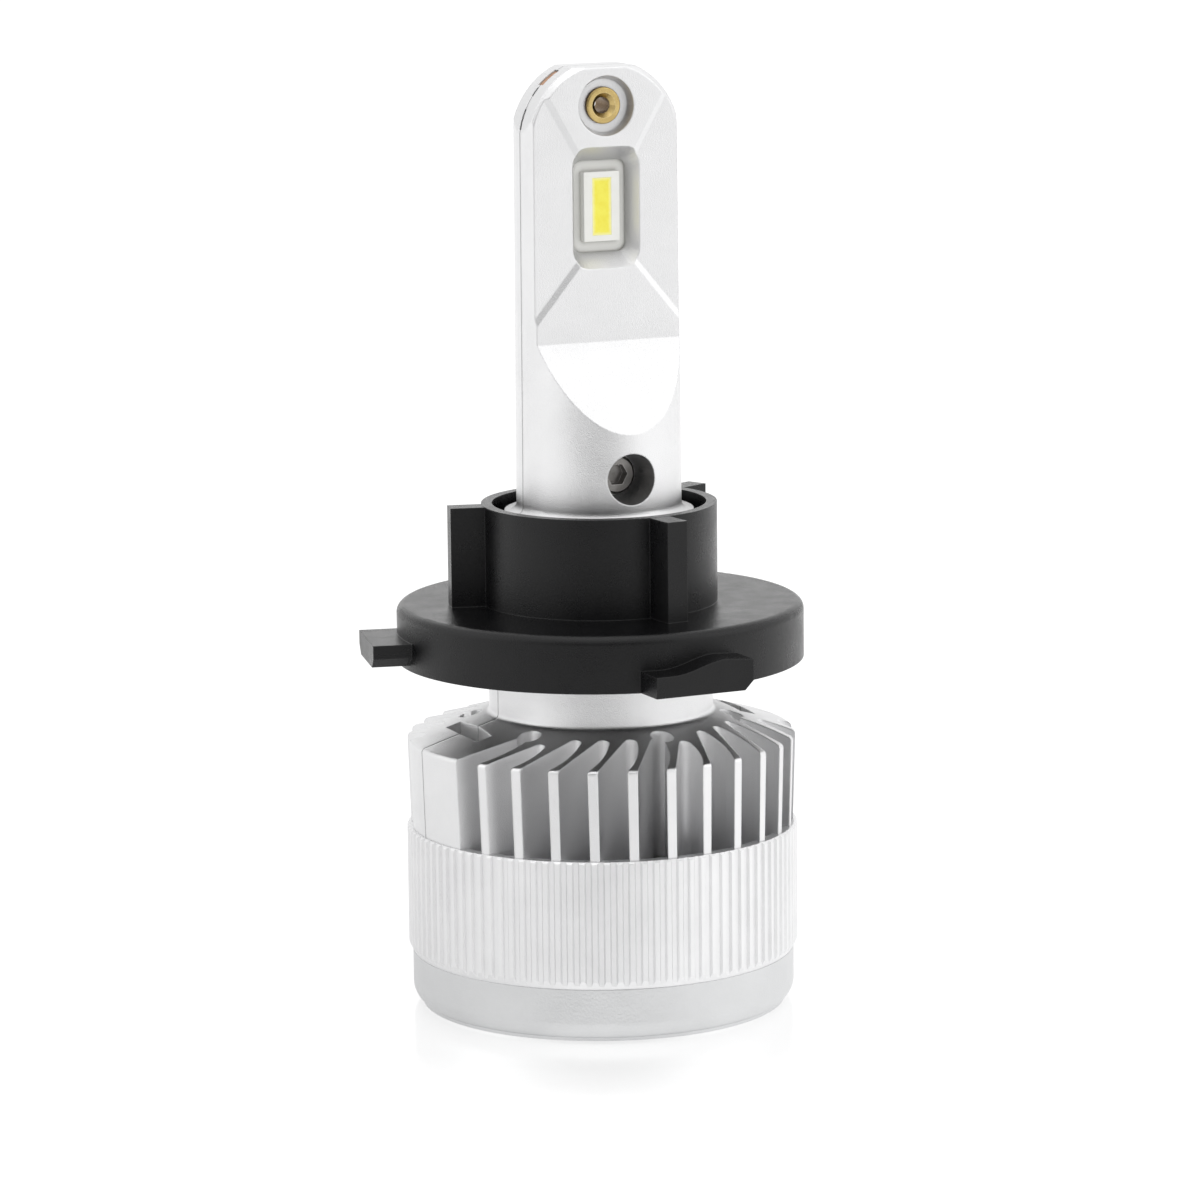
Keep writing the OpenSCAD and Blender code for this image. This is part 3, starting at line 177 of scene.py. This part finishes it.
def surface(name, colour, second, metallic, rough, grain, blotch=4.0,
            soft=0.08, edge=None, edge_gain=3.0, extra=None, relief=None, **fixed):
    """A finished material. Sizes in millimetres.

    second: colour the blotches lead to. blotch: their size. rough: lowest and highest roughness.
    grain: size and strength of the fine bump. soft: radius that rounds the edges' shading.
    edge: colour of the edges, partly wear, partly a painted highlight. edge_gain: how fast it sets
    in.
    metallic: a number, or function(tree) that gives one per point.
    extra: function(tree, tint, rough, height) that may change the three before they are joined.
    relief: function(tree) that gives a height in metres for coarser shapes under the grain.
    fixed: further sockets of the shader, by name.
    """
    t = Tree(name)
    patches = t.noise(blotch * MM, PATCH_DETAIL, NOISE_ROUGH)
    height = t.noise(grain[0] * MM, GRAIN_DETAIL, NOISE_ROUGH)
    tint = t.mix(t.span(patches, *TINT_SPAN), rgb(*colour), rgb(*second))
    roughness = t.span(patches, *ROUGH_SPAN, *rough)
    if edge:
        # Lighter edge colour: partly wear, partly a painted highlight.
        tint = t.mix(t.edges(EDGE_TINT_WIDTH * soft * MM, edge_gain), tint, rgb(*edge))
    if extra:
        tint, roughness, height = extra(t, tint, roughness, height)
    normal = t.soft_normal(soft * MM)
    if relief:
        normal = t.bump(relief(t), 1.0, 1.0, normal)
    inputs = {"Base Color": tint, "Roughness": roughness}
    inputs["Metallic"] = metallic(t) if callable(metallic) else metallic
    inputs["Normal"] = t.bump(height, grain[1], grain[0] * MM, normal)
    inputs.update(fixed)
    shader = t.add("ShaderNodeBsdfPrincipled", inputs)
    return t.finish(shader.outputs["BSDF"])


def dress(material, *names):
    """Puts the material on the CAD nodes with these names."""
    for name in names:
        mesh = NODES[name].data
        mesh.materials.clear()
        mesh.materials.append(material)


# ---------------------------------------------------------------- cast halves

# Heights of the cone's top and the ring's top edge, in millimetres as all sizes below.
CONE_Z = 33.2
RING_TOP_Z = 20.4

# Parting seam between the halves: half its width, its depth and the painted shade in it.
SEAM_HALF = 0.10
SEAM_DEPTH = 0.05
SEAM_ROUNDING = 3
SEAM_PAINTED_SHADE = (0.06, 0.06, 0.06)

# Walls of the fin slots, found by how closed in and how steep they are. They end at the cone's
# top, within the heights of SLOT_TOP round it.
SLOT_REACH = 5
SLOT_OPEN = (0.3, 0.7)
SLOT_TOP = (-1, 1)
WALL_TILT = (0.2, 0.5)
WALL_METAL = 0.74
WALL_ROUGHER = 0.18
# Painted light on the slot walls: paler than the cast, and darker towards the bottom.
WALL_PAINTED_LIGHT_LOW = (0.80, 0.80, 0.81)
WALL_PAINTED_LIGHT_HIGH = (0.98, 0.98, 0.98)

# Blasted skin: pits, and how grain and pits share the height.
PIT_SIZE = 0.12
GRAIN_SHARE = 0.7
PIT_SHARE = 0.45

# Painted shade in fine corners.
CORNER_REACH = 0.4
CORNER_OPEN = (0.1, 0.5)
CORNER_SHARE = 0.6
CORNER_PAINTED_SHADE = (0.30, 0.29, 0.28)

# Shade of the black collar on the post's foot and the neck, from COLLAR_RISE above the cone.
COLLAR_REACH = 5
COLLAR_OPEN = (0.45, 0.95)
COLLAR_RISE = (1, 3)
COLLAR_SHARE = 0.55
COLLAR_SHADE = (0.40, 0.40, 0.40)


def heights(span):
    """Two heights relative to the cone's top, in metres."""
    return ((CONE_Z + span[0]) * MM, (CONE_Z + span[1]) * MM)


def seam(t, half):
    """1 in the parting plane of the two castings, 0 from half millimetres away."""
    away = t.math("ABSOLUTE", t.axis(t.coords(), "Y"))
    return t.span(away, 0.0, half * MM, 1.0, 0.0)


def slot_walls(t):
    """1 on the steep walls deep in the fin slots, below the cone's top."""
    deep = t.span(t.nearby(SLOT_REACH * MM), *SLOT_OPEN, 1.0, 0.0)
    height = t.axis(t.coords(), "Z")
    below = t.span(height, *heights(SLOT_TOP), 1.0, 0.0)
    up = t.math("ABSOLUTE", t.axis(t.normal(), "Z"))
    steep = t.span(up, *WALL_TILT, 1.0, 0.0)
    return t.math("MULTIPLY", t.math("MULTIPLY", deep, below), steep)


def cast_metal(t):
    """The slots' walls are less metallic, so they scatter light like a powder."""
    return t.span(slot_walls(t), 0.0, 1.0, 1.0, WALL_METAL)


def cast_extra(t, tint, rough, height):
    """Pits all over, painted light on rougher slot walls, painted shade in corners, foot and seam.
    """
    voronoi = t.add("ShaderNodeTexVoronoi", {"Scale": 1 / (PIT_SIZE * MM), "Vector": t.coords()})
    pits = t.math("MULTIPLY", voronoi.outputs["Distance"], PIT_SHARE)
    height = t.math("ADD", t.math("MULTIPLY", height, GRAIN_SHARE), pits)
    walls = slot_walls(t)
    level = t.axis(t.coords(), "Z")
    climb = t.span(level, RING_TOP_Z * MM, CONE_Z * MM)
    # Painted light: the slot walls are paler than the cast, and darker towards the bottom.
    tint = t.mix(walls, tint, t.mix(climb, rgb(*WALL_PAINTED_LIGHT_LOW), rgb(*WALL_PAINTED_LIGHT_HIGH)))
    rough = t.math("ADD", rough, t.math("MULTIPLY", walls, WALL_ROUGHER))
    # Painted shade in fine corners.
    corner = t.span(t.nearby(CORNER_REACH * MM), *CORNER_OPEN, CORNER_SHARE, 0.0)
    tint = t.mix(corner, tint, rgb(*CORNER_PAINTED_SHADE))
    closed = t.span(t.nearby(COLLAR_REACH * MM), *COLLAR_OPEN, COLLAR_SHARE, 0.0)
    above = t.span(level, *heights(COLLAR_RISE))
    tint = t.mix(t.math("MULTIPLY", closed, above), tint, rgb(*COLLAR_SHADE))
    # Painted shade along the parting seam.
    tint = t.mix(seam(t, SEAM_HALF), tint, rgb(*SEAM_PAINTED_SHADE))
    return tint, rough, height


def cast_relief(t):
    """Rounded edges of the two halves at the seam."""
    return t.math("MULTIPLY", seam(t, SEAM_ROUNDING * SEAM_HALF), -SEAM_DEPTH * MM)


# ---------------------------------------------------------------- LED, board, collar and rivet

# Phosphor strip: height of its middle, half its width and height, and its thin border.
LED_Z = 90.0
PHOSPHOR_HALF_W = 1.15
PHOSPHOR_HALF_H = 3.2
BORDER_WIDTH = 0.4
BORDER_SHARE = 0.9
BORDER_COLOUR = (0.95, 0.92, 0.48)
RAGGED_SIZE = 0.3
RAGGED_DEPTH = 0.04

# Board: solder mask on its faces, and painted shade in its corners.
MASK_FACING = (0.8, 0.9)
MASK_COLOUR = (0.84, 0.84, 0.81)
MASK_ROUGH = (0.35, 0.5)
BOARD_SHADE_REACH = 0.7
BOARD_SHADE_OPEN = (0.45, 0.8)
BOARD_SHADE_SHARE = 0.75
BOARD_PAINTED_SHADE = (0.20, 0.19, 0.16)

# Collar: how far up a face looks before it counts as a top, and how much smoother a top is.
TOP_FACING = (0.6, 0.9)
TOP_SMOOTHER = 0.09

# Rivet: tarnish in its bore.
BORE_REACH = 4
BORE_OPEN = (0.35, 0.6)
BORE_COLOUR = (0.14, 0.08, 0.03)


def phosphor_border(t, tint, rough, height):
    """The phosphor runs out thin and pale along its border."""
    side = t.math("ABSOLUTE", t.axis(t.coords(), "X"))
    across = t.math("SUBTRACT", PHOSPHOR_HALF_W * MM, side)
    along = t.math("ABSOLUTE", t.math("SUBTRACT", t.axis(t.coords(), "Z"), LED_Z * MM))
    inside = t.math("MINIMUM", across, t.math("SUBTRACT", PHOSPHOR_HALF_H * MM, along))
    shift = t.span(t.noise(RAGGED_SIZE * MM), *ROUGH_SPAN, -RAGGED_DEPTH * MM, RAGGED_DEPTH * MM)
    border = t.span(t.math("ADD", inside, shift), 0.0, BORDER_WIDTH * MM, BORDER_SHARE, 0.0)
    return t.mix(border, tint, rgb(*BORDER_COLOUR)), rough, height


def solder_mask(t, tint, rough, height):
    """Pale mask on the board's two faces; the cut edges stay bare copper; painted shade in
    corners.
    """
    facing = t.span(t.math("ABSOLUTE", t.axis(t.normal(), "Y")), *MASK_FACING)
    tint = t.mix(facing, tint, rgb(*MASK_COLOUR))
    # Painted shade in the board's corners and gaps.
    board_shade = t.span(t.nearby(BOARD_SHADE_REACH * MM), *BOARD_SHADE_OPEN, BOARD_SHADE_SHARE, 0.0)
    tint = t.mix(board_shade, tint, rgb(*BOARD_PAINTED_SHADE))
    return tint, t.span(facing, 0.0, 1.0, *MASK_ROUGH), height


def polished_top(t, tint, rough, height):
    """Faces that look up are a little smoother."""
    smoother = t.span(t.axis(t.normal(), "Z"), *TOP_FACING, 0.0, TOP_SMOOTHER)
    return tint, t.math("SUBTRACT", rough, smoother), height


def bore_stain(t, tint, rough, height):
    """Dark tarnish down in the bore."""
    deep = t.span(t.nearby(BORE_REACH * MM), *BORE_OPEN, 1.0, 0.0)
    return t.mix(deep, tint, rgb(*BORE_COLOUR)), rough, height


# ---------------------------------------------------------------- materials

# Each finish: arguments of surface(), further arguments by name, and the nodes that wear it.
FINISHES = [
    (("cast_aluminium", (0.84, 0.84, 0.845), (0.82, 0.82, 0.825), cast_metal,
      (0.29, 0.36), (0.11, 0.34), 5.0, 0.25),
     {"extra": cast_extra, "relief": cast_relief},
     ("heatsink_front", "heatsink_rear")),
    (("knurled_aluminium", (0.86, 0.86, 0.865), (0.84, 0.84, 0.845), 1.0,
      (0.36, 0.44), (0.25, 0.15), 4.0, 0.04),
     {}, ("grip_ring",)),
    (("satin_cap", (0.70, 0.705, 0.71), (0.68, 0.685, 0.69), 1.0,
      (0.34, 0.42), (0.30, 0.15), 6.0),
     {}, ("end_cap",)),
    (("black_nylon", (0.004, 0.004, 0.0045), (0.006, 0.006, 0.0065), 0.0,
      (0.24, 0.34), (0.14, 0.30), 3.0, 0.15),
     {"edge": (0.03, 0.03, 0.031), "edge_gain": 1.2, "extra": polished_top,
      "Specular IOR Level": 0.3},
     ("mounting_collar",)),
    (("black_rubber", (0.02, 0.02, 0.02), (0.03, 0.03, 0.03), 0.0, (0.6, 0.75), (0.3, 0.12)),
     {}, ("collar_seal", "cable_grommet")),
    (("fan_plastic", (0.025, 0.025, 0.027), (0.035, 0.035, 0.037), 0.0,
      (0.4, 0.5), (0.25, 0.12)),
     {}, ("fan_frame", "fan_impeller")),
    (("led_ceramic", (0.86, 0.86, 0.83), (0.82, 0.82, 0.78), 0.0, (0.35, 0.45), (0.1, 0.05)),
     {}, ("led_frame_front", "led_frame_rear")),
    (("led_phosphor", (0.93, 0.86, 0.10), (0.90, 0.80, 0.07), 0.0,
      (0.4, 0.5), (0.12, 0.25), 1.0),
     {"extra": phosphor_border},
     ("led_phosphor_front", "led_phosphor_rear")),
    (("copper_core", (0.50, 0.27, 0.15), (0.40, 0.20, 0.11), 0.0, (0.3, 0.4), (0.2, 0.1), 1.5),
     {"extra": solder_mask}, ("copper_board",)),
    (("brass", (0.62, 0.47, 0.20), (0.52, 0.38, 0.15), 1.0, (0.22, 0.32), (0.2, 0.08), 1.5),
     {"edge": (0.90, 0.78, 0.46), "extra": bore_stain}, ("tip_rivet",)),
    (("dark_steel", (0.30, 0.29, 0.28), (0.22, 0.21, 0.20), 1.0, (0.28, 0.40), (0.15, 0.08), 1.5),
     {"edge": (0.75, 0.74, 0.72)}, ("clamp_screw", "cap_screws", "shaft_clip")),
    (("bright_steel", (0.62, 0.62, 0.63), (0.55, 0.55, 0.56), 1.0,
      (0.22, 0.32), (0.12, 0.06), 2.0),
     {}, ("fan_shaft", "rotor_cup")),
    (("ferrite", (0.06, 0.055, 0.05), (0.09, 0.08, 0.07), 0.0, (0.6, 0.7), (0.15, 0.2)),
     {}, ("rotor_magnet",)),
    (("sintered_bronze", (0.52, 0.33, 0.17), (0.42, 0.26, 0.13), 1.0, (0.45, 0.6), (0.1, 0.3)),
     {}, ("fan_bearing",)),
    (("laminated_steel", (0.32, 0.33, 0.35), (0.26, 0.26, 0.28), 1.0, (0.4, 0.5), (0.2, 0.1)),
     {}, ("stator_core",)),
    (("enamelled_wire", (0.55, 0.20, 0.07), (0.46, 0.15, 0.05), 0.7, (0.25, 0.35), (0.2, 0.2)),
     {}, ("stator_windings",)),
    (("circuit_board", (0.02, 0.10, 0.045), (0.03, 0.13, 0.06), 0.0, (0.3, 0.4), (0.5, 0.05)),
     {}, ("fan_board", "driver_board")),
    (("lead_insulation", (0.35, 0.03, 0.02), (0.30, 0.02, 0.02), 0.0, (0.4, 0.5), (0.3, 0.05)),
     {}, ("fan_leads",)),
    (("inductor_ferrite", (0.09, 0.09, 0.095), (0.12, 0.12, 0.12), 0.0, (0.5, 0.6), (0.2, 0.2)),
     {}, ("driver_inductor",)),
    (("capacitor_can", (0.66, 0.66, 0.67), (0.6, 0.6, 0.6), 1.0, (0.25, 0.35), (0.2, 0.05)),
     {}, ("driver_capacitors",)),
    (("chip_epoxy", (0.03, 0.03, 0.032), (0.04, 0.04, 0.042), 0.0, (0.5, 0.6), (0.12, 0.2)),
     {}, ("driver_chips",)),
    (("tinned_pins", (0.78, 0.77, 0.74), (0.7, 0.69, 0.66), 1.0, (0.25, 0.4), (0.15, 0.1)),
     {}, ("board_pins",)),
]


def make_materials():
    for values, named, names in FINISHES:
        dress(surface(*values, **named), *names)


# ---------------------------------------------------------------- floor

# Sizes and distances from the bulb's axis in metres.
FLOOR_SIZE = 6.0
FLOOR_DROP = 0.00002
FLOOR_COLOUR = 0.95
FLOOR_GLOW = 1.2
GLOW_SHARE = 0.7

# How much greyer reflections see the floor: near the bulb on the left, and far off in front.
LEFT_SECTOR = (0.2, 0.8)
LEFT_SHADE = 0.28
LEFT_AWAY = (0.1, 0.45)
FRONT_SECTOR = (0.75, 0.98)
FRONT_SHADE = 0.42
FRONT_AWAY = (0.05, 0.3)
FRONT_NEAR_SHARE = 0.15

# Faint mirror image of the cap, which ends a little way off.
MIRROR_ROUGH = (0.10, 0.14)
MIRROR_IOR = 1.8
MIRROR_GAIN = 1.1
MIRROR_AWAY = (0.032, 0.064)
MIRROR_GRAIN = 3


def heading(azimuth):
    """Level direction from the bulb's axis towards a camera at this azimuth, in radians."""
    return (math.sin(azimuth), -math.cos(azimuth), 0.0)


def floor_shade(t):
    """Share of its glow that the floor loses for reflections, by place."""
    azimuth = math.radians(CAMERA_AZIMUTH)
    away = t.length(t.coords())
    toward = t.direction(t.coords())
    front = t.dot(toward, heading(azimuth))
    left = t.dot(toward, (-math.cos(azimuth), -math.sin(azimuth), 0.0))
    near = t.math("MULTIPLY", t.span(left, *LEFT_SECTOR, 0.0, LEFT_SHADE),
                  t.span(away, *LEFT_AWAY, 1.0, 0.0))
    far = t.math("MULTIPLY", t.span(front, *FRONT_SECTOR, 0.0, FRONT_SHADE),
                 t.span(away, *FRONT_AWAY, FRONT_NEAR_SHARE, 1.0))
    return t.math("ADD", far, near)


def floor_material():
    """Diffuse ground that keeps the shadow, a glow for the eye and reflections, a faint mirror."""
    t = Tree("floor")
    path = t.add("ShaderNodeLightPath").outputs
    lit = t.add("ShaderNodeBsdfDiffuse", {"Color": rgb(FLOOR_COLOUR)})
    shade = t.math("MULTIPLY", floor_shade(t), path["Is Glossy Ray"])
    strength = t.math("MULTIPLY", t.math("SUBTRACT", 1.0, shade), FLOOR_GLOW)
    glow = t.add("ShaderNodeEmission", {"Color": rgb(1.0), "Strength": strength})
    seen = t.math("MAXIMUM", path["Is Camera Ray"], path["Is Glossy Ray"])
    seen = t.math("MAXIMUM", seen, path["Is Transmission Ray"])
    ground = t.join(t.math("MULTIPLY", seen, GLOW_SHARE), lit, glow)
    rough = t.span(t.noise(MIRROR_GRAIN * MM), *ROUGH_SPAN, *MIRROR_ROUGH)
    mirror = t.add("ShaderNodeBsdfAnisotropic", {"Color": rgb(1.0), "Roughness": rough})
    share = t.add("ShaderNodeFresnel", {"IOR": MIRROR_IOR}).outputs[0]
    fade = t.span(t.length(t.coords()), *MIRROR_AWAY, MIRROR_GAIN, 0.0)
    share = t.math("MULTIPLY", t.math("MULTIPLY", share, fade), path["Is Camera Ray"])
    return t.finish(t.join(share, ground, mirror).outputs[0])


def make_floor():
    mesh = bpy.data.meshes.new("floor")
    half = FLOOR_SIZE / 2
    corners = [(-half, -half, 0), (half, -half, 0), (half, half, 0), (-half, half, 0)]
    mesh.from_pydata(corners, [], [(0, 1, 2, 3)])
    mesh.materials.append(floor_material())
    floor = bpy.data.objects.new("floor", mesh)
    floor.location.z = -FLOOR_DROP
    scene.collection.objects.link(floor)


# ---------------------------------------------------------------- world and lamps

# Brightness of the white room in reflections: greyer on the camera's side and a touch greyer
# at one azimuth behind its left shoulder, full overhead.
ROOM_TILT = 0.1
ROOM_SECTOR = (0.68, 0.93)
ROOM_FRONT = 0.12
DIM_TURN = 125
DIM_SECTOR = (0.7, 0.98)
DIM_LEVEL = 0.9
TOP_RISE = (0.2, 0.6)
TOP_LEVEL = 1.02
ROOM_LIGHT = 0.93


def make_world():
    """White for the camera, a shaded room for reflections, even light for everything else."""
    t = Tree("studio", world=True)
    direction = t.add("ShaderNodeTexCoord").outputs["Generated"]
    azimuth = math.radians(CAMERA_AZIMUTH)
    x, y, _ = heading(azimuth)
    side = t.span(t.dot(direction, (x, y, ROOM_TILT)), *ROOM_SECTOR, 1.0, ROOM_FRONT)
    behind = t.dot(direction, heading(azimuth - math.radians(DIM_TURN)))
    side = t.math("MULTIPLY", side, t.span(behind, *DIM_SECTOR, 1.0, DIM_LEVEL))
    room = t.math("MAXIMUM", side, t.span(t.axis(direction, "Z"), *TOP_RISE, 0.0, TOP_LEVEL))
    path = t.add("ShaderNodeLightPath").outputs
    camera = path["Is Camera Ray"]
    reflected = t.math("MAXIMUM", path["Is Glossy Ray"], path["Is Transmission Ray"])
    strength = t.math("MAXIMUM", t.math("MULTIPLY", room, reflected), camera)
    other = t.math("SUBTRACT", 1.0, t.math("MAXIMUM", camera, reflected))
    strength = t.math("ADD", strength, t.math("MULTIPLY", other, ROOM_LIGHT))
    back = t.add("ShaderNodeBackground", {"Color": rgb(1.0), "Strength": strength})
    scene.world = t.finish(back.outputs[0])


# Height of the point the lamps are aimed at, in metres.
LAMP_AIM = 0.05

# Each lamp: azimuth from the camera and elevation in degrees, distance and size in metres,
# and radiance: how bright its face is, where 1 is white.
LAMPS = {
    "lamp_left": (-80, 30, 0.8, 0.6, 0.4),
    "lamp_right": (80, 30, 0.8, 0.6, 0.6),
    "lamp_top": (0, 80, 0.9, 0.7, 0.6),
}


def make_lamp(name, azimuth, elevation, distance, size, radiance):
    """Square soft light aimed at the middle of the bulb."""
    data = bpy.data.lights.new(name, "AREA")
    data.size = size
    data.energy = radiance * math.pi * size * size
    lamp = bpy.data.objects.new(name, data)
    scene.collection.objects.link(lamp)
    rise = math.radians(elevation)
    x, y, _ = heading(math.radians(CAMERA_AZIMUTH + azimuth))
    toward = Vector((x * math.cos(rise), y * math.cos(rise), math.sin(rise)))
    lamp.location = Vector((0, 0, LAMP_AIM)) + toward * distance
    lamp.rotation_mode = "QUATERNION"
    lamp.rotation_quaternion = toward.to_track_quat("Z", "Y")


scene.view_settings.view_transform = "Standard"
make_camera()
make_floor()
make_world()
for lamp_name, lamp_values in LAMPS.items():
    make_lamp(lamp_name, *lamp_values)
make_materials()
